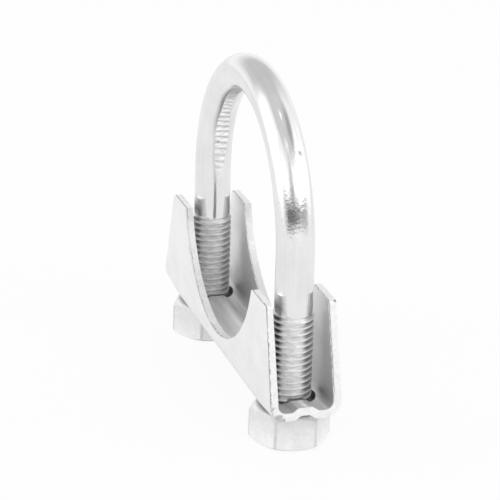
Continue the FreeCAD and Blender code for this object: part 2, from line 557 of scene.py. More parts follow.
@dataclass(frozen=True)
class TornEdge:
    """The rough dark line that the shear leaves where it breaks through the sheet.

    Attributes:
        fold_across: Where the outer fold of the near wall has its centre, across the saddle.
        fold_height: The height of that centre.
        outer_line: How far from it the line follows the near wall's outer face.
        lower_part: Heights over which the line draws nearer to that face.
        nearer: By how much it does.
        wander: How far unevenness shifts a line.
        line_start: Where the outer line begins, outside the fold's centre.
        foot_height: Heights over which the wide patch at the wall's foot ends.
        foot_side: Where that patch begins, outside the fold's centre.
        foot_width: How wide the patch is.
        width: Half the line's width.
        more_width: How much unevenness adds to it.
        full: Share of the width where the line is full.
        gone: Share of the width where it is gone.
        inner_line: Where the far wall's inner line runs, across the saddle.
        inner_width: How far from its middle that line fades.
        inner_start: Heights over which it begins.
        steady: How dark a line is at the least.
        patchy: How much darker unevenness makes it.
        grainy: How much the fine grain breaks up the foot's patch.
        seat_height: Height of the pipe seat's centre.
        seat_radius: Its radius.
        seat_edge: How far from the seat its sheared edge ends.
        seat_soil: How dark that edge is.
        seat_fade: How much fainter a line is on it.
        land_end: Where a land ends, along the saddle.
        land_side: Where it ends across the saddle.
        land_height: Its height.
        torn: How far the torn spot at that corner reaches.
    """

    fold_across: float = 4.7 * MM
    fold_height: float = 13.5 * MM
    outer_line: float = 3.55 * MM
    lower_part: Ramp = Ramp(15.0 * MM, 32.0 * MM)
    nearer: float = 0.28 * MM
    wander: float = 0.25 * MM
    line_start: Ramp = Ramp(0.0, 0.5 * MM)
    foot_height: Ramp = Ramp(13.0 * MM, 15.0 * MM)
    foot_side: Ramp = Ramp(0.0, 1.0 * MM)
    foot_width: float = 1.4 * MM
    width: float = 0.13 * MM
    more_width: float = 0.06 * MM
    full: float = 0.5
    gone: float = 1.3
    inner_line: float = 6.92 * MM
    inner_width: Ramp = Ramp(0.08 * MM, 0.2 * MM)
    inner_start: Ramp = Ramp(14.0 * MM, 16.0 * MM)
    steady: float = 0.55
    patchy: float = 0.45
    grainy: float = 0.6
    seat_height: float = 43.1 * MM
    seat_radius: float = 28.75 * MM
    seat_edge: Ramp = Ramp(0.05 * MM, 0.12 * MM)
    seat_soil: float = 0.24
    seat_fade: float = 0.25
    land_end: float = 38.3 * MM
    land_side: float = 8.45 * MM
    land_height: float = 35.8 * MM
    torn: Ramp = Ramp(0.2 * MM, 0.6 * MM)

    def lines(self, spot: Spot) -> Field:
        """Return the lines along the walls' ends, one outside and one inside."""
        shift = (spot.uneven - 0.5) * self.wander
        out = (0.0 - spot.across - self.fold_across).most(0.0)
        down = (spot.height - self.fold_height).least(0.0)
        nearer = self.lower_part.fall(spot.height) * self.nearer
        off_line = (distance(out, down) - self.outer_line - nearer + shift).size()
        foot = self.foot_height.fall(spot.height) * self.foot_side.rise(out)
        reach = self.width + spot.uneven * (foot * self.foot_width + self.more_width)
        outer = 1.0 - spread(off_line, reach * self.full, reach * self.gone)
        outer = outer * self.line_start.rise(out)
        inner = self.inner_width.fall((spot.across - self.inner_line + shift).size())
        inner = inner * self.inner_start.rise(spot.height)
        strength = self.steady + spot.uneven * self.patchy - foot * spot.grain * self.grainy
        return outer.most(inner) * strength

    def soil(self, spot: Spot) -> Field:
        """Return how dark the edges are, with the seat's edge and the lands' torn corners."""
        from_seat = distance(spot.along, spot.height - self.seat_height) - self.seat_radius
        in_seat = self.seat_edge.fall(from_seat)
        from_corner = distance(
            spot.along.size() - self.land_end, spot.across - self.land_side,
            spot.height - self.land_height)
        lines = self.lines(spot) * (1.0 - in_seat * self.seat_fade)
        return lines.most(in_seat * self.seat_soil).most(self.torn.fall(from_corner))


def shade_effect() -> bpy.types.NodeTree:
    """Where plating is darkened by painted shade or by real dirt and burr lines, is matt or worn, or
    carries the crown's painted highlight: by the piece's own attributes and by the place.
    """
    inputs = {"Between Walls": 0.0, "By Nuts": 0.0, "Burr": 0.0}
    effect = Effect("shade_and_dirt_depth", inputs, ["Depth", "Worn", "Matt", "Polish", "Ripple"])
    place = effect.object_place()
    uneven = SPECKS.rise(effect.noise(place, UNEVEN_SCALE))
    grain = CLOUDS.rise(effect.noise(place, GRAIN_SCALE))
    spot = Spot(*effect.split(place), uneven, grain)
    between_walls, by_nuts, burr = (effect.value(label) for label in inputs)
    crevices = Crevices()
    crown = WebCrown()
    inside = crevices.wall.fall(spot.across.size())
    # The piece's own mask: painted shade in threads, teeth, corners and nut rings, with the bend's real
    # pits.
    depth = effect.attribute("shade_and_dirt")
    # Painted shade in the channel's corners, where the web sits on the nuts and in the holes' walls.
    depth = depth.most(crevices.between_walls(spot) * between_walls)
    depth = depth.most(crevices.by_nuts(spot) * by_nuts)
    depth = depth.most(TornEdge().soil(spot) * burr)
    # Painted shade on the web beside the bead's crown.
    depth = depth.most(crown.beside(spot, inside) * between_walls)
    effect.give("Depth", depth)
    # The bead crown's painted highlight, a less metallic and rougher streak, joins the real wear.
    effect.give("Worn", effect.attribute("worn").most(crown.streak(spot) * by_nuts))
    for label in ("Matt", "Polish", "Ripple"):
        effect.give(label, effect.attribute(label.lower()))
    return effect.tree


@dataclass(frozen=True)
class Effects:
    """The shader groups that every finish uses.

    Attributes:
        mottle: Patches and specks.
        drawn: Lines along the piece.
        shade: Painted shade, real dirt and wear.
    """

    mottle: bpy.types.NodeTree
    drawn: bpy.types.NodeTree
    shade: bpy.types.NodeTree


@dataclass(frozen=True)
class PlatedFinish:
    """Bright zinc on steel.

    Attributes:
        name: What the material is called.
        bright: Grey of the clean plating.
        dull: Grey of its darker patches.
        shade_and_dirt: Grey that the plating is pulled towards by painted shade in threads, teeth,
            corners and contacts, and by real dirt and burr lines.
        smooth: Roughness of the clean plating.
        rough: Roughness of its darker patches.
        patch_scale: How fine the patches are.
        speck_scale: How fine the specks are.
        specks: Share of the specks in the pattern.
        lines: How much the drawn lines show in the grey.
        bump: Height of the specks in metres.
        wave: Height of the unevenness of the patches in metres.
        metallic: How metallic it is; matt zinc is less so than bright zinc.
        crevice: How much the painted shade between the saddle's walls, and beside the bead's crown,
            shows.
        contact: How much the painted shade where the web meets the nuts and in the holes shows, and the
            crown's painted highlight.
        burr: How much the line shows where the shear broke through.
        worn: How much less metallic the worn places, and the crown's painted highlight, are.
        worn_rough: Roughness of the worn places.
        worn_mottle: How much the dashes across them show in the grey.
        worn_bump: Height of those dashes in metres.
        ripple_bump: Height of the specks where the rod is rippled, in metres.
        matt_rough: Roughness of the matt border of the gripping flat.
    """

    name: str
    bright: float
    dull: float
    shade_and_dirt: float
    smooth: float
    rough: float
    patch_scale: float
    speck_scale: float
    specks: float
    lines: float
    bump: float
    wave: float
    metallic: float = 1.0
    crevice: float = 0.0
    contact: float = 0.0
    burr: float = 0.0
    worn: float = 0.0
    worn_rough: float = 0.6
    worn_mottle: float = 1.3
    worn_bump: float = 0.11 * MM
    ripple_bump: float = 0.05 * MM
    matt_rough: float = 0.42

    def material(self, effects: Effects) -> bpy.types.Material:
        """Build the material.

        Args:
            effects: The shared shader groups.

        Returns:
            The material.
        """
        material = bpy.data.materials.new(self.name)
        material.use_nodes = True
        tree = material.node_tree
        shader = tree.nodes["Principled BSDF"]
        shader.inputs["Metallic"].default_value = self.metallic
        mottle = self.group(tree, effects.mottle, {
            "Patch Scale": self.patch_scale, "Speck Scale": self.speck_scale, "Specks": self.specks})
        drawn = self.group(tree, effects.drawn, {})
        shade = self.group(tree, effects.shade, {
            "Between Walls": self.crevice, "By Nuts": self.contact, "Burr": self.burr})
        if self.worn:
            metallic = self.metallic - shade["Worn"] * self.worn
            tree.links.new(metallic.socket, shader.inputs["Metallic"])
        grey = self.grey(mottle, drawn, shade)
        colour = tree.nodes.new("ShaderNodeCombineColor")
        for socket in colour.inputs:
            tree.links.new(grey.socket, socket)
        bump = tree.nodes.new("ShaderNodeBump")
        bump.inputs["Strength"].default_value = 1.0
        bump.inputs["Distance"].default_value = 1.0
        tree.links.new(self.relief(mottle, drawn, shade).socket, bump.inputs["Height"])
        tree.links.new(colour.outputs[0], shader.inputs["Base Color"])
        tree.links.new(self.roughness(mottle, shade).socket, shader.inputs["Roughness"])
        tree.links.new(bump.outputs[0], shader.inputs["Normal"])
        return material

    def group(self, tree: bpy.types.NodeTree, effect: bpy.types.NodeTree,
              values: dict[str, float]) -> dict[str, Field]:
        """Add a shader group to the material, set its inputs and return its outputs by name."""
        node = tree.nodes.new("ShaderNodeGroup")
        node.node_tree = effect
        for label, value in values.items():
            node.inputs[label].default_value = value
        return {socket.name: Field(tree, socket) for socket in node.outputs}

    def grey(self, mottle: dict[str, Field], drawn: dict[str, Field], shade: dict[str, Field]) -> Field:
        """Return the plating's grey: mottled, lined, polished, worn, and darkened by painted shade and
        real dirt.
        """
        grey = self.dull + mottle["Tone"] * (self.bright - self.dull)
        grey = grey + (drawn["Lines"] - 0.5) * self.lines
        grey = grey + shade["Polish"] * (1.0 - grey)
        if self.worn:
            grey = grey + shade["Worn"] * (drawn["Dashes"] - 0.5) * self.worn_mottle
        # Painted shade, with the real dirt and burr lines, pulls the grey down.
        return grey + shade["Depth"] * (self.shade_and_dirt - grey)

    def roughness(self, mottle: dict[str, Field], shade: dict[str, Field]) -> Field:
        """Return the plating's roughness."""
        rough = self.rough + mottle["Tone"] * (self.smooth - self.rough)
        rough = rough + shade["Matt"] * (self.matt_rough - rough)
        if self.worn:
            rough = rough + shade["Worn"] * (self.worn_rough - rough)
        return rough

    def relief(self, mottle: dict[str, Field], drawn: dict[str, Field], shade: dict[str, Field]) -> Field:
        """Return the height of the plating's fine unevenness, in metres."""
        height = mottle["Specks"] * self.bump + mottle["Patches"] * self.wave
        if self.worn:
            height = height + drawn["Dashes"] * shade["Worn"] * self.worn_bump
            height = height + mottle["Specks"] * shade["Ripple"] * self.ripple_bump
        return height


ROD_PLATING = PlatedFinish(
    name="rod_plating", bright=0.91, dull=0.83, shade_and_dirt=0.08, smooth=0.10, rough=0.17, patch_scale=110.0,
    speck_scale=1500.0, specks=0.3, lines=0.05, bump=0.000007, wave=0.00006, worn=0.95)
SHEET_PLATING = PlatedFinish(
    name="sheet_plating", bright=0.94, dull=0.86, shade_and_dirt=0.12, smooth=0.32, rough=0.44, patch_scale=150.0,
    speck_scale=1400.0, specks=0.35, lines=0.045, bump=0.000006, wave=0.00002, metallic=0.75,
    crevice=0.18, contact=1.0, worn=0.6)
SHEARED_EDGE = PlatedFinish(
    name="sheared_edge", bright=1.0, dull=0.84, shade_and_dirt=0.1, smooth=0.4, rough=0.55, patch_scale=500.0,
    speck_scale=1500.0, specks=0.55, lines=0.0, bump=0.00001, wave=0.00001, metallic=0.4, contact=1.0,
    burr=0.8)
NUT_PLATING = PlatedFinish(
    name="nut_plating", bright=1.0, dull=0.84, shade_and_dirt=0.05, smooth=0.3, rough=0.45, patch_scale=260.0,
    speck_scale=1300.0, specks=0.55, lines=0.0, bump=0.000014, wave=0.00002, metallic=0.1)


def thread_share(height: Field, around: Field, start: Number) -> Field:
    """Return how deep the thread is at a point of the stud, from 0 on a crest to 1 in a root.

    Args:
        height: Height along the stud.
        around: Share of a turn from +X, counted as the thread climbs.
        start: Share of a turn by which the thread is turned.

    Returns:
        The depth share.
    """
    phase = (height / THREAD_PITCH - around + start).fraction()
    from_crest = (phase - 0.5).size()
    return THREAD_FLANK.rise(from_crest).eased()


@dataclass
class Stud:
    """A leg's threaded end: a thread rolled on the rod, with painted shade where it faces the walls and
    in its hole.

    Attributes:
        bottom: Height of its lower end.
        top: Height at which the thread has run out.
        chamfer: Size of the lower end's chamfer.
        runout: Length over which the thread rises from the bare rod.
        rows_per_turn: Rows of points for each turn of the thread.
        columns: Points round the stud.
        shade_turn: How far the sides with painted shade are turned from the walls.
        facing_walls: How far a side turns to a wall before it gets painted shade.
        root_shade: How dark the painted shade in the roots is, before it is held at full.
        crest_shade: How dark the painted shade on the crests is.
        even_shade: How dark the painted shade is on average over the two sides.
        uneven_shade: How much darker it is on the near wall's side.
        crown_side: Where the bead's crown slopes down, from the stud's axis.
        crown_rise: How much higher the hole's rim is on the crown.
        ring_start: Where the painted shade at the hole's rim begins, from the rim.
        ring_end: Where it ends.
        ring_shade: How dark that painted shade is.
        worn: How worn the thread is.
        tarnish: How much painted shade darkens the whole thread, on each stud.
        soil: How strong the painted shade on its thread is, on each stud.
        hole_rim: Height of the hole's rim, at each stud.
    """

    bottom: float = 0.9 * MM
    top: float = 32.4 * MM
    chamfer: float = 1.0 * MM
    runout: float = 1.6 * MM
    rows_per_turn: int = 16
    columns: int = 72
    shade_turn: float = math.radians(18)
    facing_walls: Ramp = Ramp(0.45, 0.8)
    root_shade: float = 1.5
    crest_shade: float = 0.2
    even_shade: float = 0.9
    uneven_shade: float = 0.22
    crown_side: Ramp = Ramp(1.4 * MM, 3.2 * MM)
    crown_rise: float = 1.1 * MM
    ring_start: Ramp = Ramp(-0.8 * MM, -0.45 * MM)
    ring_end: Ramp = Ramp(-0.1 * MM, 0.2 * MM)
    ring_shade: float = 0.85
    worn: float = 0.7
    tarnish: dict[Side, float] = field(default_factory=lambda: {Side.RIGHT: 0.04, Side.LEFT: 0.22})
    soil: dict[Side, float] = field(default_factory=lambda: {Side.RIGHT: 0.95, Side.LEFT: 0.72})
    hole_rim: dict[Side, float] = field(
        default_factory=lambda: {Side.RIGHT: 10.65 * MM, Side.LEFT: 10.35 * MM})

    def recipe(self) -> Recipe:
        """Return the tree of a stud: its thread, which runs out on the rod, and its chamfered end."""
        recipe = Recipe("threaded_stud")
        rows = recipe.named("Rows", "NodeSocketInt")
        columns = recipe.named("Columns", "NodeSocketInt")
        side, low, high, runout, chamfer, tarnish, soil, rim = recipe.several(
            "Side", "Bottom", "Top", "Runout", "Chamfer", "Tarnish", "Soil", "Hole Rim")
        sheet, along, around = recipe.unrolled_grid(rows, columns)
        step = THREAD_PITCH / self.rows_per_turn
        climb = low - THREAD_PITCH + along * (rows - 1.0) * step + around * THREAD_PITCH
        height = climb.clamped(low, high)
        angle = around * math.tau
        share = thread_share(height, around, 0.0)
        full = ((high - height) / runout).clamped().eased()
        radius = ROD_RADIUS + (THREAD_CREST - share * THREAD_DEPTH - ROD_RADIUS) * full
        radius = radius.least(THREAD_CREST - chamfer + (height - low))
        across = radius * angle.cosine()
        aside = radius * angle.sine()
        # Painted shade: thread roots facing the walls, the ring at the hole's rim and the whole thread,
        # more on the far stud.
        shade_and_dirt = self.thread_shade(angle, share) * full * soil
        shade_and_dirt = shade_and_dirt.most(self.rim_shade(height, aside, rim)).most(tarnish * full)
        sheet = recipe.stored(sheet, "shade_and_dirt", shade_and_dirt)
        sheet = recipe.stored(sheet, "worn", full * self.worn)
        sheet = recipe.stored(sheet, "run", across, aside, height)
        sheet = recipe.placed(sheet, side * LEG_X + across, aside, height)
        disc = recipe.node("GeometryNodeMeshCircle", Vertices=columns, Radius=THREAD_CREST - chamfer)
        disc.fill_type = "NGON"
        x, y = recipe.split(recipe.node("GeometryNodeInputPosition").outputs[0])[:2]
        end = recipe.placed(disc.outputs["Mesh"], x + side * LEG_X, y, low)
        recipe.finish([recipe.flipped(sheet), recipe.flipped(end)])
        return recipe

    def thread_shade(self, angle: Field, share: Field) -> Field:
        """Return the thread's painted shade, by the direction it faces and its depth share."""
        by_wall = self.facing_walls.rise((angle + self.shade_turn).sine().size()).eased()
        depth = (share * self.root_shade + self.crest_shade).clamped()
        return depth * by_wall * (self.even_shade - angle.sine() * self.uneven_shade)

    def rim_shade(self, height: Field, aside: Field, rim: Field) -> Field:
        """Return the painted shade in the ring where the stud goes through the rim of its hole."""
        on_crown = 1.0 - self.crown_side.rise(aside.size()).eased()
        rim = rim + on_crown * self.crown_rise
        return self.ring_start.rise(height, rim) * self.ring_end.fall(height, rim) * self.ring_shade

    def build(self, recipe: Recipe, side: Side, plating: bpy.types.Material) -> bpy.types.Object:
        """Build one stud.

        Args:
            recipe: The studs' tree.
            side: The leg that it ends.
            plating: The rod's material.

        Returns:
            The stud, open where the bare rod goes on.
        """
        turns = (self.top - self.bottom) / THREAD_PITCH + 1
        return recipe.grow(new_piece("stud_" + side.name.lower()), {
            "Rows": math.ceil(turns * self.rows_per_turn) + 1, "Columns": self.columns,
            "Side": float(side.value), "Bottom": self.bottom, "Top": self.top, "Runout": self.runout,
            "Chamfer": self.chamfer, "Tarnish": self.tarnish[side], "Soil": self.soil[side],
            "Hole Rim": self.hole_rim[side], "Material": plating})


@dataclass(frozen=True)
class Pit:
    """A dark blemish on the bend.

    Attributes:
        turn: Angle round the bend, from the right leg.
        angle: Angle round the rod, from its inner side.
        size: How wide it is.
    """

    turn: float
    angle: float
    size: float

    def darkness(self, turn: Field, angle: Field) -> Field:
        """Return 1 in the pit and 0 away from it."""
        away = distance((turn - self.turn) * LEG_X, (angle - self.angle) * ROD_RADIUS)
        return Ramp(self.size * 0.3, self.size).fall(away)


@dataclass(frozen=True)
class BendSpot:
    """A point of the bend or the shanks, as the numbers that its marks are worked out from.

    Attributes:
        turn: Angle round the bend, from the right leg.
        angle: Angle round the rod, from its inner side.
        centre: Angle at which the gripping flat has its middle.
        beyond: Way along the rod from where the nearer leg ends and the bend begins.
        fade: How much of the flat is left there, from 0 to 1.
        flat_edge: Cosine of half the angle over which the flat reaches round the rod.
    """

    turn: Field
    angle: Field
    centre: Field
    beyond: Field
    fade: Field
    flat_edge: Field

    def to_strip(self) -> Field:
        """Return the cosine of the angle between the point and the flat's middle."""
        return (self.angle - self.centre).cosine()

    def rise(self) -> Field:
        """Return how far up the bend the point is, from 0 to 1."""
        return self.turn.sine()


@dataclass
class Bend:
    """The bend and both shanks, with the gripping flat pressed along the inside and its teeth.

    Attributes:
        columns: Points round the rod.
        teeth: Teeth round the bend.
        rows_per_tooth: Rows of points for each tooth.
        shank_rows: Rows of points along each shank.
        crowding: How much the points crowd together at the flat.
        tooth_depth: Depth of the gaps between the teeth.
        tooth_gap: Half the width of a gap.
        tooth_slant: How far the gaps lean across the flat.
        tooth_phase: Share of a tooth by which the row is shifted.
        first_gap: Way into the bend over which the gaps begin.
        strip_depth: How deep the flat is pressed.
        strip_turn: Angle of the flat's middle on the legs, from the inner side.
        strip_drift: How far it drifts towards the crown.
        drifting: Rise of the bend over which it drifts.
        strip_lead: How far the flat reaches down the shanks.
        strip_fade: Length over which it comes in.
        crown_fade: How much shallower it is on the crown.
        fading: Rise of the bend over which it gets shallower.
        flat_border: Stretch between the round side and the flat, in cosines.
        matt_border: Stretch outside the flat that is matt.
        crown_shade: Rise of the bend over which painted shade comes onto the flat under the crown.
        under_crown_shade: How dark that painted shade is.
        beside_start: Where the painted shade beside the flat begins, from the flat's edge.
        beside_end: Where it ends.
        beside_side: Side of the rod on which it lies.
        beside_rise: Rise of the bend over which it comes in.
        beside_shade: How dark the painted shade beside the flat is.
        gap_shade: How dark the painted shade in the gaps between the teeth is.
        facing_walls: How far a side of a shank turns to a wall before it gets painted shade and wear.
        shank_end: Where the shanks' painted shade and wear end, along the rod.
        shank_shade: How dark the painted shade on the shanks is.
        shank_worn: How worn the plating is there.
        pits: Dark blemishes.
        pit_soil: How dark they are.
        ripple_start: Angles round the bend over which the near leg's ripples begin.
        ripple_end: Angles over which they end.
    """

    columns: int = 72
    teeth: int = 52
    rows_per_tooth: int = 9
    shank_rows: int = 8
    crowding: float = 0.5
    tooth_depth: float = 0.25 * MM
    tooth_gap: float = 0.65 * MM
    tooth_slant: float = -0.17
    tooth_phase: float = 0.3
    first_gap: float = 0.8 * MM
    strip_depth: float = 0.43 * MM
    strip_turn: float = math.radians(5.0)
    strip_drift: float = math.radians(13.0)
    drifting: Ramp = Ramp(0.3, 0.8)
    strip_lead: float = 5.0 * MM
    strip_fade: float = 16.5 * MM
    crown_fade: float = 0.62
    fading: Ramp = Ramp(0.33, 0.62)
    flat_border: Ramp = Ramp(0.002, 0.012)
    matt_border: Ramp = Ramp(-0.12, 0.0)
    crown_shade: Ramp = Ramp(0.72, 0.85)
    under_crown_shade: float = 0.55
    beside_start: Ramp = Ramp(-0.03, 0.01)
    beside_end: Ramp = Ramp(0.06, 0.24)
    beside_side: Ramp = Ramp(0.1, 0.3)
    beside_rise: Ramp = Ramp(0.3, 0.7)
    beside_shade: float = 0.6
    gap_shade: float = 0.28
    facing_walls: Ramp = Ramp(0.66, 0.88)
    shank_end: Ramp = Ramp(-9.9 * MM, -8.9 * MM)
    shank_shade: float = 0.8
    shank_worn: float = 0.7
    pits: tuple[Pit, ...] = (
        Pit(math.radians(40.0), math.radians(158.8), 0.8 * MM),
        Pit(math.radians(164.3), math.radians(354.6), 0.6 * MM))
    pit_soil: float = 0.7
    ripple_start: Ramp = Ramp(0.1, 0.2)
    ripple_end: Ramp = Ramp(0.45, 0.85)

    def recipe(self) -> Recipe:
        """Return the tree: a grid rolled round the rod's line, pressed flat and toothed inside."""
        recipe = Recipe("toothed_bend")
        columns = recipe.named("Columns", "NodeSocketInt")
        shank_rows, bend_rows, shank, teeth, depth = recipe.several(
            "Shank Rows", "Bend Rows", "Shank Length", "Teeth", "Tooth Depth")
        total = shank_rows * 2.0 + bend_rows
        sheet, along, around = recipe.unrolled_grid(total + 1.0, columns)
        row = along * total
        arc = math.pi * LEG_X
        first = (row / shank_rows).clamped() * shank - shank
        middle = ((row - shank_rows) / bend_rows).clamped()
        last = ((row - shank_rows - bend_rows) / shank_rows).clamped() * shank
        turn = middle * math.pi
        even = around * math.tau
        centre = self.strip_turn - self.drifting.rise(turn.sine()) * self.strip_drift
        from_end = (row.least(total - row) / shank_rows).clamped().eased()
        angle = even - (even - centre).sine() * from_end * self.crowding
        beyond = (middle * arc + first).least((1.0 - middle) * arc - last)
        fade = ((beyond + self.strip_lead) / self.strip_fade).clamped()
        pressed = self.strip_depth * fade * (1.0 - self.crown_fade * self.fading.rise(turn.sine()))
        spot = BendSpot(turn, angle, centre, beyond, fade, 1.0 - pressed / ROD_RADIUS)
        facing = self.flat_border.rise(spot.to_strip(), spot.flat_edge)
        cut = self.gap(spot, middle * teeth) * facing
        flat = (ROD_RADIUS - pressed - cut * depth) / spot.to_strip().most(0.1)
        radius = flat.least(ROD_RADIUS)
        inward = radius * angle.cosine()
        aside = radius * angle.sine()
        x = turn.cosine() * (LEG_X - inward)
        z = BEND_Z + turn.sine() * (LEG_X - inward) + first - last
        by_wall = self.facing_walls.rise(angle.sine().size()).eased() * self.shank_end.fall(beyond)
        worn = (facing * (fade * 2.0).clamped()).most(by_wall * self.shank_worn)
        border = self.matt_border.rise(spot.to_strip(), spot.flat_edge)
        # Painted shade in the gaps, under the crown, beside the flat and on the shanks' sides that face
        # the walls, with the real pits.
        soil = self.soil(spot, facing, cut).most(by_wall * self.shank_shade)
        sheet = recipe.stored(sheet, "shade_and_dirt", soil)
        sheet = recipe.stored(sheet, "polish", (facing - cut * 2.0).clamped() * fade)
        sheet = recipe.stored(sheet, "ripple", self.ripple_start.rise(turn) * self.ripple_end.fall(turn))
        sheet = recipe.stored(sheet, "worn", worn)
        sheet = recipe.stored(sheet, "matt", border * (fade * 4.0).clamped())
        sheet = recipe.stored(sheet, "run", inward, aside, middle * arc + first + last)
        recipe.finish([recipe.placed(sheet, x, aside, z)])
        return recipe

    def gap(self, spot: BendSpot, count: Field) -> Field:
        """Return how deep a point lies in a gap between two teeth, from 0 to 1.

        Args:
            spot: The point.
            count: How many teeth lie before it.

        Returns:
            The share of the gap's depth.
        """
        pitch = math.pi * LEG_X / self.teeth
        slant = (spot.angle - spot.centre).sine() * (ROD_RADIUS * self.tooth_slant) / pitch
        from_tooth = ((count + (slant + self.tooth_phase)).fraction() - 0.5).size()
        from_gap = (0.5 - from_tooth) * pitch / self.tooth_gap
        return (1.0 - from_gap).clamped().eased() * (spot.beyond / self.first_gap).clamped()

    def soil(self, spot: BendSpot, facing: Field, cut: Field) -> Field:
        """Return a point's painted shade in the gaps, under the crown and beside the flat, and how dark
        the real pits are.

        Args:
            spot: The point.
            facing: How far it lies on the flat, from 0 to 1.
            cut: How deep it lies in a gap.

        Returns:
            The darkness, from 0 to 1.
        """
        under_crown = facing * self.crown_shade.rise(spot.rise()) * self.under_crown_shade
        half_width = (1.0 - spot.flat_edge * spot.flat_edge).root()
        aside = (spot.centre - spot.angle).sine()
        beside = self.beside_start.rise(aside, half_width) * self.beside_end.fall(aside, half_width)
        beside = beside * self.beside_side.rise(spot.to_strip()) * self.beside_rise.rise(spot.rise())
        soil = (cut * self.gap_shade).most(under_crown).most(beside * self.beside_shade)
        for pit in self.pits:
            soil = soil.most(pit.darkness(spot.turn, spot.angle) * self.pit_soil)
        return soil

    def build(self, shank: float, plating: bpy.types.Material) -> bpy.types.Object:
        """Build the bend.

        Args:
            shank: Length of the bare rod between a stud and the bend.
            plating: The rod's material.

        Returns:
            The bend with both shanks, open at both ends.
        """
        return self.recipe().grow(new_piece("bend"), {
            "Columns": self.columns, "Shank Rows": float(self.shank_rows),
            "Bend Rows": float(self.teeth * self.rows_per_tooth), "Shank Length": shank,
            "Teeth": float(self.teeth), "Tooth Depth": self.tooth_depth, "Material": plating})


@dataclass
class UBolt:
    """The bent rod with its gripping flat, its teeth and its two threaded studs."""

    stud: Stud = field(default_factory=Stud)
    bend: Bend = field(default_factory=Bend)
    sharp_angle: float = math.radians(50)

    def build(self, plating: bpy.types.Material) -> bpy.types.Object:
        """Build the U-bolt.

        Args:
            plating: The rod's material.

        Returns:
            The piece.
        """
        recipe = self.stud.recipe()
        parts = [self.stud.build(recipe, side, plating) for side in Side]
        parts.append(self.bend.build(BEND_Z - self.stud.top, plating))
        shell = bmesh.new()
        for part in parts:
            shell.from_mesh(part.data)
            bpy.data.objects.remove(part)
        bmesh.ops.remove_doubles(shell, verts=shell.verts, dist=WELD_DISTANCE)
        mesh = bpy.data.meshes.new("u_bolt_rod")
        shell.to_mesh(mesh)
        shell.free()
        mesh.materials.append(plating)
        for polygon in mesh.polygons:
            polygon.use_smooth = True
        mesh.set_sharp_from_angle(angle=self.sharp_angle)
        return handed_over(new_piece("u_bolt_rod", mesh), Body.U_BOLT)


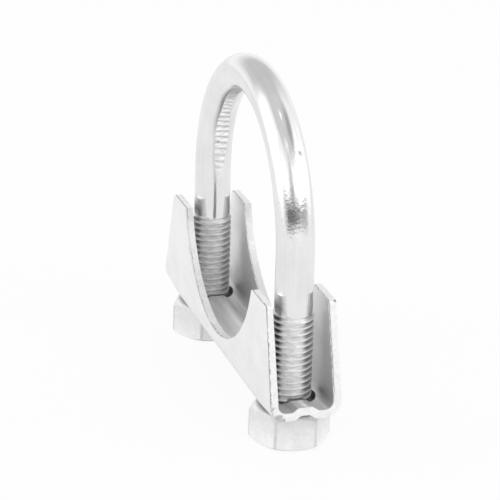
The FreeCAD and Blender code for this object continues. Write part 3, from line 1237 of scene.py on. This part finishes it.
@dataclass
class HexNut:
    """A hexagon nut with chamfered ends and a thread in its bore.

    Attributes:
        name: What the piece is called.
        body: The body that it moves with.
        side: The leg that it sits on.
        turn: Angle of a corner from +X.
        across_flats: Distance between two flats.
        face_radius: Radius at which a face's chamfer begins.
        chamfer_slope: How much that chamfer climbs outward.
        edge_softening: Length that rounds the edges.
        corner_angle: Half the angle that a rounded corner takes up.
        rim_radius: Radius of the bore under the mouth's chamfer.
        mouth_radius: Radius at which that chamfer meets the face.
        clearance: How far the bore's thread stays off the stud's.
        bore_crest: Smallest radius of the bore's thread.
        columns: Points round the nut.
        rows_per_turn: Rows of points for each turn of the thread.
        flat_rings: Rings of points at the two ends of the flats.
        corner_shade: How dark the painted shade on the corners is, which dims their highlights.
        ring_shade: How dark the painted shade on each ring is, counted from the lower mouth.
        sharp_angle: Edges over this angle stay sharp.
    """

    name: str
    body: Body
    side: Side
    turn: float
    across_flats: float = 17.0 * MM
    face_radius: float = 8.16 * MM
    chamfer_slope: float = math.tan(math.radians(30))
    edge_softening: float = 0.09 * MM
    corner_angle: float = math.radians(0.9)
    rim_radius: float = 5.06 * MM
    mouth_radius: float = 5.575 * MM
    clearance: float = 0.06 * MM
    bore_crest: float = 4.19 * MM
    columns: int = 144
    rows_per_turn: int = 16
    flat_rings: tuple[int, ...] = (5, 6)
    corner_shade: float = 0.28
    ring_shade: dict[int, float] = field(
        default_factory=lambda: {2: 0.9, 3: 0.9, 4: 0.12, 6: 0.2, 7: 0.2, 9: 0.1, 10: 1.0, 11: 1.0})
    sharp_angle: float = math.radians(35)

    def outer_angles(self) -> list[float]:
        """Return where the points of the outer rings stand, close together at the corners."""
        per_side = self.columns // 6
        sixth = math.tau / 6
        angles = []
        for i in range(self.columns):
            corner, step = divmod(i, per_side)
            share = step / (per_side - 1)
            inside = self.corner_angle + share * (sixth - 2 * self.corner_angle)
            angles.append(self.turn + corner * sixth + inside)
        return angles

    def shell(self) -> bpy.types.Mesh:
        """Return the nut without its bore: two ends, two chamfers and six flats."""
        mesh = bmesh.new()
        even = [self.turn + math.tau * i / self.columns for i in range(self.columns)]
        outer = self.outer_angles()
        mouth = self.mouth_radius - self.rim_radius
        soft = self.edge_softening
        slope = math.atan(self.chamfer_slope)
        soft_out = soft * math.cos(slope)
        soft_up = soft * math.sin(slope)

        def hexagon(angle: float) -> float:
            """Distance from the axis to the nut's flats in a direction."""
            sixth = math.tau / 6
            return self.across_flats / 2 / math.cos((angle - self.turn) % sixth - sixth / 2)

        def chamfer_height(angle: float) -> float:
            """Height at which the end's chamfer meets the flats in a direction."""
            return (hexagon(angle) - self.face_radius) * self.chamfer_slope

        half = [
            (even, lambda a: self.rim_radius, lambda a: mouth),
            (even, lambda a: self.mouth_radius, lambda a: 0.0),
            (outer, lambda a: self.face_radius - soft, lambda a: 0.0),
            (outer, lambda a: self.face_radius + soft_out, lambda a: soft_up),
            (outer, lambda a: hexagon(a) - soft_out, lambda a: chamfer_height(a) - soft_up),
            (outer, hexagon, lambda a: chamfer_height(a) + soft),
        ]
        rings = [[(a, radius(a), height(a)) for a in angles] for angles, radius, height in half]
        rings += [[(a, r, NUT_HEIGHT - z) for a, r, z in ring] for ring in reversed(rings)]
        x = self.side.value * LEG_X
        points = []
        for ring in rings:
            places = [(x + r * math.cos(a), r * math.sin(a), z) for a, r, z in ring]
            points.append([mesh.verts.new(place) for place in places])
        for low, high in zip(points, points[1:]):
            for i in range(self.columns):
                j = (i + 1) % self.columns
                mesh.faces.new((low[i], low[j], high[j], high[i]))
        result = bpy.data.meshes.new(self.name)
        mesh.to_mesh(result)
        mesh.free()
        # Painted shade: at the bottom edge over the floor, on the top chamfer, where the saddle sits on
        # the nut and on the corners.
        shade_and_dirt = result.attributes.new("shade_and_dirt", "FLOAT", "POINT")
        for i, item in enumerate(shade_and_dirt.data):
            ring, column = divmod(i, self.columns)
            on_corner = column % (self.columns // 6) in (0, self.columns // 6 - 1)
            item.value = self.ring_shade.get(ring, 0.0)
            if ring in self.flat_rings and on_corner:
                item.value = max(item.value, self.corner_shade)
        return result

    def bore_recipe(self) -> Recipe:
        """Return the tree that cuts the thread turns and welds them into the shell."""
        recipe = Recipe("threaded_bore")
        recipe.named("Geometry", "NodeSocketGeometry")
        rows = recipe.named("Rows", "NodeSocketInt")
        columns = recipe.named("Columns", "NodeSocketInt")
        side, turn, low, high = recipe.several("Side", "Turn", "Bottom", "Top")
        sheet, along, around = recipe.unrolled_grid(rows, columns)
        step = THREAD_PITCH / self.rows_per_turn
        climb = low - THREAD_PITCH + along * (rows - 1.0) * step + around * THREAD_PITCH
        height = climb.clamped(low, high)
        angle = around * math.tau + turn
        share = thread_share(height, around + turn / math.tau, 0.0)
        thread = (THREAD_CREST + self.clearance - share * THREAD_DEPTH).most(self.bore_crest)
        lead_in = (height - low).least(high - height)
        radius = thread.most(self.rim_radius - lead_in)
        # Painted shade in the bore's thread, darkest in its roots.
        sheet = recipe.stored(sheet, "shade_and_dirt", 1.0 - share)
        across = side * LEG_X + radius * angle.cosine()
        sheet = recipe.placed(sheet, across, radius * angle.sine(), height)
        recipe.finish([recipe.entry.outputs["Geometry"], sheet])
        return recipe

    def build(self, plating: bpy.types.Material) -> bpy.types.Object:
        """Build the nut.

        Args:
            plating: The nut's material.

        Returns:
            The piece.
        """
        mouth = self.mouth_radius - self.rim_radius
        length = NUT_HEIGHT - 2 * mouth
        rows = math.ceil((length / THREAD_PITCH + 1) * self.rows_per_turn) + 1
        piece = self.bore_recipe().grow(new_piece(self.name, self.shell()), {
            "Rows": rows, "Columns": self.columns, "Side": float(self.side.value),
            "Turn": self.turn, "Bottom": mouth, "Top": NUT_HEIGHT - mouth, "Material": plating})
        flat_faces_kept(piece, self.sharp_angle)
        return handed_over(piece, self.body)


@dataclass(frozen=True)
class Corner:
    """A corner of an outline: where it is and the radius that rounds it."""

    across: float
    up: float
    radius: float = 0.0


def rounded(corners: list[Corner], step: float) -> list[tuple[float, float]]:
    """Return the points of a closed outline with its corners rounded.

    Args:
        corners: The corners in order.
        step: Largest angle between two points of an arc.

    Returns:
        The outline's points.
    """
    points = []
    for i, corner in enumerate(corners):
        here = Vector((corner.across, corner.up))
        before = Vector((corners[i - 1].across, corners[i - 1].up))
        after = Vector((corners[(i + 1) % len(corners)].across, corners[(i + 1) % len(corners)].up))
        to_last = (before - here).normalized()
        to_next = (after - here).normalized()
        if corner.radius == 0:
            points.append(here[:])
            continue
        half = to_last.angle(to_next) / 2
        centre = here + (to_last + to_next).normalized() * corner.radius / math.sin(half)
        start = here + to_last * corner.radius / math.tan(half) - centre
        end = here + to_next * corner.radius / math.tan(half) - centre
        turn = start.angle_signed(end)
        count = max(1, math.ceil(abs(turn) / step))
        for k in range(count + 1):
            spoke = start.copy()
            spoke.rotate(Matrix.Rotation(-turn * k / count, 2))
            points.append((centre + spoke)[:])
    return points


def circle(radius: float, count: int) -> list[tuple[float, float]]:
    """Return the points of a circle round the origin."""
    angles = [math.tau * k / count for k in range(count)]
    return [(radius * math.cos(a), radius * math.sin(a)) for a in angles]


def mirrored(half: list[Corner]) -> list[Corner]:
    """Return the corners of one half, followed by their mirror image."""
    return half + [Corner(-c.across, c.up, c.radius) for c in reversed(half)]


@dataclass
class Saddle:
    """The folded sheet with its bead, pipe seat and stud holes.

    Attributes:
        sheet: Thickness of the sheet.
        width: Width over both walls.
        fold_radius: Inner radius of a fold.
        wall_height: Height of the lands over the web's underside.
        seat_radius: Radius of the pipe seat.
        seat_floor: Its lowest point over the web's underside.
        land_x: Where a land ends, along the saddle.
        end_x: Where the saddle ends.
        knee_height: Height of the knee in a wall's end edge.
        knee_radius: Radius that rounds the knee.
        land_radius: Radius that rounds a land's end.
        hole_radius: Radius of a stud's hole.
        end_lift: How far an end is bent up.
        curl_x: Where that bend begins.
        curl_rows: Rows of points along it.
        bead_width: Width of the bead's foot.
        bead_height: Height of the bead.
        bead_slope: Slope of its sides.
        bead_radius: Radius of its folds.
        roll_over: Rounding of the cut edges outside the walls.
        clean_edge: Rounding of the others.
        spare: How much larger the sheet is before it is cut.
        arc_step: Largest angle between two points of an arc.
        seat_points: Points round the seat.
        hole_points: Points round a hole.
        flat_angle: Faces within this angle count as one plane.
        near: How close to a wall's face or a hole's wall an edge counts as on it.
        sharp_angle: Edges over this angle stay sharp.
    """

    sheet: float = 2.0 * MM
    width: float = 17.4 * MM
    fold_radius: float = 2.0 * MM
    wall_height: float = 27.5 * MM
    seat_radius: float = 28.75 * MM
    seat_floor: float = 5.95 * MM
    land_x: float = LEG_X + 4.95 * MM
    end_x: float = LEG_X + 11.65 * MM
    knee_height: float = 5.5 * MM
    knee_radius: float = 5.0 * MM
    land_radius: float = 0.8 * MM
    hole_radius: float = 5.925 * MM
    end_lift: float = 1.1 * MM
    curl_x: float = LEG_X - 3.0 * MM
    curl_rows: int = 10
    bead_width: float = 6.4 * MM
    bead_height: float = 1.1 * MM
    bead_slope: float = math.radians(38)
    bead_radius: float = 1.5 * MM
    roll_over: float = 0.3 * MM
    clean_edge: float = 0.14 * MM
    spare: float = 8.0 * MM
    arc_step: float = math.radians(6)
    seat_points: int = 180
    hole_points: int = 96
    flat_angle: float = math.radians(0.3)
    near: float = 0.1 * MM
    sharp_angle: float = math.radians(30)

    def section(self) -> list[tuple[float, float]]:
        """Return the outline across the saddle, over its walls, folds and bead."""
        half = self.width / 2
        top = self.wall_height + self.spare
        run = self.bead_height / math.tan(self.bead_slope)
        setback = self.sheet * math.tan(self.bead_slope / 2)
        crown = self.bead_width / 2 - run
        return rounded(mirrored([
            Corner(crown - setback, self.bead_height, self.bead_radius),
            Corner(self.bead_width / 2 - setback, 0, self.bead_radius),
            Corner(half, 0, self.fold_radius + self.sheet),
            Corner(half, top),
            Corner(half - self.sheet, top),
            Corner(half - self.sheet, self.sheet, self.fold_radius),
            Corner(self.bead_width / 2, self.sheet, self.bead_radius),
            Corner(crown, self.sheet + self.bead_height, self.bead_radius),
        ]), self.arc_step * 2)

    def channel(self) -> bpy.types.Mesh:
        """Return the folded channel, longer and higher than the saddle, with its ends curled."""
        outline = self.section()
        reach = self.end_x - self.curl_x
        far = reach + self.spare
        stations = [self.curl_x + far * k / self.curl_rows for k in range(self.curl_rows + 1)]
        stations = [-x for x in reversed(stations)] + stations
        rings = []
        for x in stations:
            lift = self.end_lift * (max(0.0, abs(x) - self.curl_x) / reach) ** 2
            rings.append([(x, y, z + lift + NUT_HEIGHT) for y, z in outline])
        return lofted("channel", rings)

    def side_prism(self) -> bpy.types.Mesh:
        """Return the prism of the saddle's outline as seen along the pipe."""
        corners = mirrored([
            Corner(self.end_x, -self.spare),
            Corner(self.end_x, self.knee_height, self.knee_radius),
            Corner(self.land_x, self.wall_height, self.land_radius),
        ])
        outline = rounded(corners, self.arc_step)
        rings = [[(x, y, z + NUT_HEIGHT) for x, z in outline] for y in (-self.width, self.width)]
        return lofted("side_prism", rings)

    def seat_cutter(self) -> bpy.types.Mesh:
        """Return the cylinder that cuts the pipe seat."""
        centre = NUT_HEIGHT + self.seat_floor + self.seat_radius
        outline = circle(self.seat_radius, self.seat_points)
        rings = [[(x, y, centre + z) for x, z in outline] for y in (-self.width, self.width)]
        return lofted("seat_cutter", rings)

    def hole_cutter(self, side: Side) -> bpy.types.Mesh:
        """Return the cylinder that cuts one stud's hole."""
        outline = circle(self.hole_radius, self.hole_points)
        middle = side.value * LEG_X
        ends = (NUT_HEIGHT - self.spare, NUT_HEIGHT + self.spare)
        return lofted("hole_cutter", [[(middle + x, y, z) for x, y in outline] for z in ends])

    def cut(self, piece: bpy.types.Object, tool: bpy.types.Mesh, operation: str,
            edge: bpy.types.Material) -> None:
        """Cut a piece with a closed mesh, whose material then marks the cut faces."""
        tool.materials.append(edge)
        holder = new_piece("cutter", tool)
        modifier = piece.modifiers.new("cut", "BOOLEAN")
        modifier.operation = operation
        modifier.object = holder
        modifier.material_mode = "TRANSFER"
        settled(piece)
        bpy.data.objects.remove(holder)

    def softened(self, piece: bpy.types.Object, sheet_index: int, edge_index: int) -> None:
        """Round the cut edges: rolled over outside the walls, nearly sharp inside them."""
        shell = bmesh.new()
        shell.from_mesh(piece.data)
        bmesh.ops.remove_doubles(shell, verts=shell.verts, dist=WELD_DISTANCE)
        bmesh.ops.dissolve_limit(
            shell, angle_limit=self.flat_angle, verts=shell.verts, edges=shell.edges,
            delimit={"MATERIAL"})
        for outside, size in ((True, self.roll_over), (False, self.clean_edge)):
            edges = []
            for edge in shell.edges:
                if self.is_cut_edge(edge, sheet_index, edge_index) and self.is_outside(edge) == outside:
                    edges.append(edge)
            bmesh.ops.bevel(
                shell, geom=edges, offset=size, offset_type="OFFSET", segments=2, profile=0.6,
                affect="EDGES", clamp_overlap=True, material=edge_index)
        shell.to_mesh(piece.data)
        shell.free()

    def is_cut_edge(self, edge: bmesh.types.BMEdge, sheet_index: int, edge_index: int) -> bool:
        """Tell whether an edge bounds a sheared face, apart from the holes' lower rims."""
        if len(edge.link_faces) != 2:
            return False
        if {face.material_index for face in edge.link_faces} != {sheet_index, edge_index}:
            return False
        middle = (edge.verts[0].co + edge.verts[1].co) / 2
        from_stud = math.hypot(abs(middle.x) - LEG_X, middle.y)
        upper = middle.z > NUT_HEIGHT + self.sheet * 0.8
        return upper or abs(from_stud - self.hole_radius) > self.near

    def is_outside(self, edge: bmesh.types.BMEdge) -> bool:
        """Tell whether an edge lies on the outer face of a wall."""
        middle = (edge.verts[0].co + edge.verts[1].co) / 2
        return abs(middle.y) > self.width / 2 - self.near

    def build(self, sheet: bpy.types.Material, edge: bpy.types.Material) -> bpy.types.Object:
        """Build the saddle.

        Args:
            sheet: Material of the sheet's faces.
            edge: Material of its sheared edges.

        Returns:
            The piece.
        """
        mesh = self.channel()
        for material in (sheet, edge):
            mesh.materials.append(material)
        piece = new_piece("saddle_sheet", mesh)
        self.cut(piece, self.side_prism(), "INTERSECT", edge)
        self.cut(piece, self.seat_cutter(), "DIFFERENCE", edge)
        for side in Side:
            self.cut(piece, self.hole_cutter(side), "DIFFERENCE", edge)
        names = [material.name for material in piece.data.materials]
        self.softened(piece, names.index(sheet.name), names.index(edge.name))
        flat_faces_kept(piece, self.sharp_angle)
        run = piece.data.attributes.new("run", "FLOAT_VECTOR", "POINT")
        for vertex, place in zip(piece.data.vertices, run.data):
            place.vector = (vertex.co.y, vertex.co.z, vertex.co.x)
        return handed_over(piece, Body.SADDLE)


def lofted(name: str, rings: list[list[tuple[float, float, float]]]) -> bpy.types.Mesh:
    """Return the closed mesh through rings of as many points each, its faces outward."""
    shell = bmesh.new()
    points = [[shell.verts.new(place) for place in ring] for ring in rings]
    for low, high in zip(points, points[1:]):
        for i in range(len(low)):
            j = (i + 1) % len(low)
            shell.faces.new((low[i], low[j], high[j], high[i]))
    shell.faces.new(points[0])
    shell.faces.new(points[-1])
    bmesh.ops.recalc_face_normals(shell, faces=shell.faces)
    mesh = bpy.data.meshes.new(name)
    shell.to_mesh(mesh)
    shell.free()
    return mesh


@dataclass(frozen=True)
class Zone:
    """A soft patch of the studio's surroundings, as plated steel mirrors it.

    Attributes:
        azimuth: Direction of its middle in degrees, from +X towards +Y.
        elevation: Height of its middle in degrees above the horizon.
        width: Half its width in degrees.
        height: Half its height in degrees.
        level: How bright it is, where 1 is white.
        soft: Share of its size over which it fades.
        tilt: Degrees that it climbs for each degree towards +Y.
        arch: Degrees by which its ends sink.
    """

    azimuth: float
    elevation: float
    width: float
    height: float
    level: float
    soft: float = 0.4
    tilt: float = 0.0
    arch: float = 0.0


def zone_effect() -> bpy.types.NodeTree:
    """How far a direction lies inside a zone of the surroundings, from 0 to 1."""
    sizes = {
        "Azimuth": 0.0, "Elevation": 0.0, "Width": 30.0, "Height": 10.0, "Soft": 0.4, "Tilt": 0.0,
        "Arch": 0.0}
    effect = Effect("studio_zone", sizes, ["Mask"])
    ray = effect.tree.nodes.new("ShaderNodeTexCoord").outputs["Generated"]
    x, y, z = effect.split(ray)
    degrees = 180.0 / math.pi
    aside = y.calculated("ARCTAN2", y, x) * degrees - effect.value("Azimuth")
    aside = ((aside / 360.0 + 0.5).fraction() - 0.5) * 360.0
    across = aside.size() / effect.value("Width")
    middle = effect.value("Elevation") + aside * effect.value("Tilt")
    middle = middle - across * across * effect.value("Arch")
    above = (z.calculated("ARCSINE", z) * degrees - middle).size() / effect.value("Height")
    near = 1.0 - effect.value("Soft")
    far = 1.0 + effect.value("Soft")
    mask = (1.0 - spread(across, near, far).eased()) * (1.0 - spread(above, near, far).eased())
    effect.give("Mask", mask)
    return effect.tree


SURROUNDINGS = (
    Zone(azimuth=0, elevation=90, width=200, height=34, level=0.68, soft=0.15),
    Zone(azimuth=180, elevation=38, width=48, height=24, level=0.6, soft=0.5),
    Zone(azimuth=75, elevation=63, width=34, height=10, level=0.42, soft=0.6),
    Zone(azimuth=-108, elevation=18, width=24, height=26, level=1.35, soft=0.35),
    Zone(azimuth=-60, elevation=30, width=16, height=12, level=1.3, soft=0.4),
    Zone(azimuth=42, elevation=34, width=46, height=13, level=1.35, soft=0.3),
    Zone(azimuth=88, elevation=8, width=24, height=16, level=1.25, soft=0.3),
    Zone(azimuth=0, elevation=15, width=66, height=8, level=0.42, soft=0.5, arch=12),
    Zone(azimuth=-36, elevation=11, width=30, height=7, level=0.1, soft=0.5, tilt=0.16),
    Zone(azimuth=5, elevation=15, width=7, height=5, level=0.16, soft=0.5),
    Zone(azimuth=-22, elevation=37, width=10, height=17, level=0.66, soft=0.4),
    Zone(azimuth=-22, elevation=27, width=7, height=5, level=0.35, soft=0.6),
    Zone(azimuth=-20, elevation=64, width=16, height=4, level=1.1, soft=0.5),
    Zone(azimuth=0, elevation=90, width=200, height=4, level=1.3, soft=0.4),
)


@dataclass(frozen=True)
class SoftBox:
    """A large soft lamp that faces the object.

    Attributes:
        name: What the lamp is called.
        azimuth: Its direction in degrees, from +X towards +Y.
        elevation: Its height in degrees above the horizon.
        distance: How far it stands from the object.
        size: Its width and height.
        level: How bright its face is, where 1 is white.
    """

    name: str
    azimuth: float
    elevation: float
    distance: float
    size: tuple[float, float]
    level: float


def direction(azimuth: float, elevation: float) -> Vector:
    """Return the unit vector of a direction, from +X towards +Y and up, in radians."""
    flat = math.cos(elevation)
    return Vector((math.cos(azimuth) * flat, math.sin(azimuth) * flat, math.sin(elevation)))


@dataclass
class Studio:
    """The floor, the lamps, the world and the camera at the photograph's angle.

    Attributes:
        azimuth: How far the camera stands from +X towards -Y.
        elevation: How far it looks down.
        roll: How far it is tilted.
        distance: How far it stands from the object.
        aim_right: How far to the right of the axis it aims.
        aim_height: Height at which it aims.
        lens: Its focal length in millimetres.
        floor_size: Width of the floor.
        floor_grey: Grey of the floor's paper.
        floor_white: Share of plain white in what the camera sees of the floor.
        floor_mirrored: The same share in what the steel mirrors of it.
        floor_dimmed: How much darker that white is in the steel.
        plain_level: Brightness of the plain surroundings.
    """

    azimuth: float = math.radians(17.84)
    elevation: float = math.radians(21.24)
    roll: float = math.radians(1.76)
    distance: float = 640.49 * MM
    aim_right: float = -0.257 * MM
    aim_height: float = 34.517 * MM
    lens: float = 189.99
    floor_size: float = 3.0
    floor_grey: float = 0.8
    floor_white: float = 0.9
    floor_mirrored: float = 0.5
    floor_dimmed: float = 0.08
    plain_level: float = 1.0

    def axes(self) -> tuple[Vector, Vector, Vector]:
        """Return the camera's right, up and backward directions."""
        back = direction(-self.azimuth, self.elevation)
        level = Vector((math.sin(self.azimuth), math.cos(self.azimuth), 0))
        steep = back.cross(level)
        right = level * math.cos(self.roll) + steep * math.sin(self.roll)
        up = steep * math.cos(self.roll) - level * math.sin(self.roll)
        return right, up, back

    def camera(self) -> bpy.types.Object:
        """Add the camera."""
        right, up, back = self.axes()
        eye = right * self.aim_right + Vector((0, 0, self.aim_height)) + back * self.distance
        lens = bpy.data.cameras.new("camera")
        lens.lens = self.lens
        lens.clip_start = 0.01
        holder = bpy.data.objects.new("camera", lens)
        holder.matrix_world = Matrix((
            (right.x, up.x, back.x, eye.x), (right.y, up.y, back.y, eye.y),
            (right.z, up.z, back.z, eye.z), (0, 0, 0, 1)))
        bpy.context.scene.collection.objects.link(holder)
        bpy.context.scene.camera = holder
        return holder

    def floor(self) -> bpy.types.Object:
        """Add the pale floor, which shows white to the camera but keeps the shadow."""
        half = self.floor_size / 2
        mesh = bpy.data.meshes.new("floor")
        corners = [(-half, -half, 0), (half, -half, 0), (half, half, 0), (-half, half, 0)]
        mesh.from_pydata(corners, [], [(0, 1, 2, 3)])
        material = bpy.data.materials.new("studio_floor")
        material.use_nodes = True
        tree = material.node_tree
        tree.nodes.clear()
        paper = tree.nodes.new("ShaderNodeBsdfDiffuse")
        paper.inputs["Color"].default_value = (self.floor_grey, self.floor_grey, self.floor_grey, 1)
        glow = tree.nodes.new("ShaderNodeEmission")
        path = tree.nodes.new("ShaderNodeLightPath")
        mirrored_ray = Field(tree, path.outputs["Is Glossy Ray"])
        strength = 1.0 - mirrored_ray * self.floor_dimmed
        tree.links.new(strength.socket, glow.inputs["Strength"])
        camera = Field(tree, path.outputs["Is Camera Ray"])
        share = camera * self.floor_white + mirrored_ray * self.floor_mirrored
        mix = tree.nodes.new("ShaderNodeMixShader")
        out = tree.nodes.new("ShaderNodeOutputMaterial")
        tree.links.new(share.socket, mix.inputs["Fac"])
        tree.links.new(paper.outputs[0], mix.inputs[1])
        tree.links.new(glow.outputs[0], mix.inputs[2])
        tree.links.new(mix.outputs[0], out.inputs["Surface"])
        mesh.materials.append(material)
        holder = new_piece("floor", mesh)
        return holder

    def world(self) -> None:
        """Add the world: white behind the object, and zones of light and dark for the steel to mirror."""
        world = bpy.data.worlds.new("studio")
        bpy.context.scene.world = world
        world.use_nodes = True
        tree = world.node_tree
        background = tree.nodes["Background"]
        path = tree.nodes.new("ShaderNodeLightPath")
        camera = Field(tree, path.outputs["Is Camera Ray"])
        mirrored_ray = Field(tree, path.outputs["Is Glossy Ray"])
        effect = zone_effect()
        level = self.plain_level
        for zone in SURROUNDINGS:
            node = tree.nodes.new("ShaderNodeGroup")
            node.node_tree = effect
            for socket in node.inputs:
                socket.default_value = getattr(zone, socket.name.lower())
            level = level + (zone.level - level) * Field(tree, node.outputs["Mask"])
        level = self.plain_level + (level - self.plain_level) * mirrored_ray
        level = level + (1.0 - level) * camera
        tree.links.new(level.socket, background.inputs["Strength"])
        background.inputs["Color"].default_value = (1, 1, 1, 1)

    def lamp(self, box: SoftBox) -> None:
        """Add one soft lamp that faces the middle of the object."""
        light = bpy.data.lights.new(box.name, "AREA")
        light.shape = "RECTANGLE"
        light.size, light.size_y = box.size
        light.energy = box.level * math.pi * box.size[0] * box.size[1]
        holder = bpy.data.objects.new(box.name, light)
        away = direction(math.radians(box.azimuth), math.radians(box.elevation))
        holder.rotation_euler = away.to_track_quat("Z", "Y").to_euler()
        holder.location = Vector((0, 0, self.aim_height)) + away * box.distance
        bpy.context.scene.collection.objects.link(holder)

    def build(self) -> None:
        """Set up the whole studio."""
        bpy.context.scene.view_settings.view_transform = "Standard"
        self.camera()
        self.floor()
        self.world()
        self.lamp(SoftBox("left_softbox", -108, 20, 1.0, (0.6, 0.6), 1.4))
        self.lamp(SoftBox("right_softbox", 45, 34, 1.0, (0.8, 0.4), 1.4))


def main() -> None:
    """Build the clamp and its studio."""
    logging.basicConfig(level=logging.INFO, format="%(name)s %(message)s")
    effects = Effects(mottle_effect(), drawn_effect(), shade_effect())
    Studio().build()
    UBolt().build(ROD_PLATING.material(effects))
    Saddle().build(SHEET_PLATING.material(effects), SHEARED_EDGE.material(effects))
    nut_plating = NUT_PLATING.material(effects)
    HexNut("right_hex_nut", Body.RIGHT_NUT, Side.RIGHT, math.radians(22.0)).build(nut_plating)
    HexNut("left_hex_nut", Body.LEFT_NUT, Side.LEFT, math.radians(31.5)).build(nut_plating)


if __name__ == "__main__":
    main()
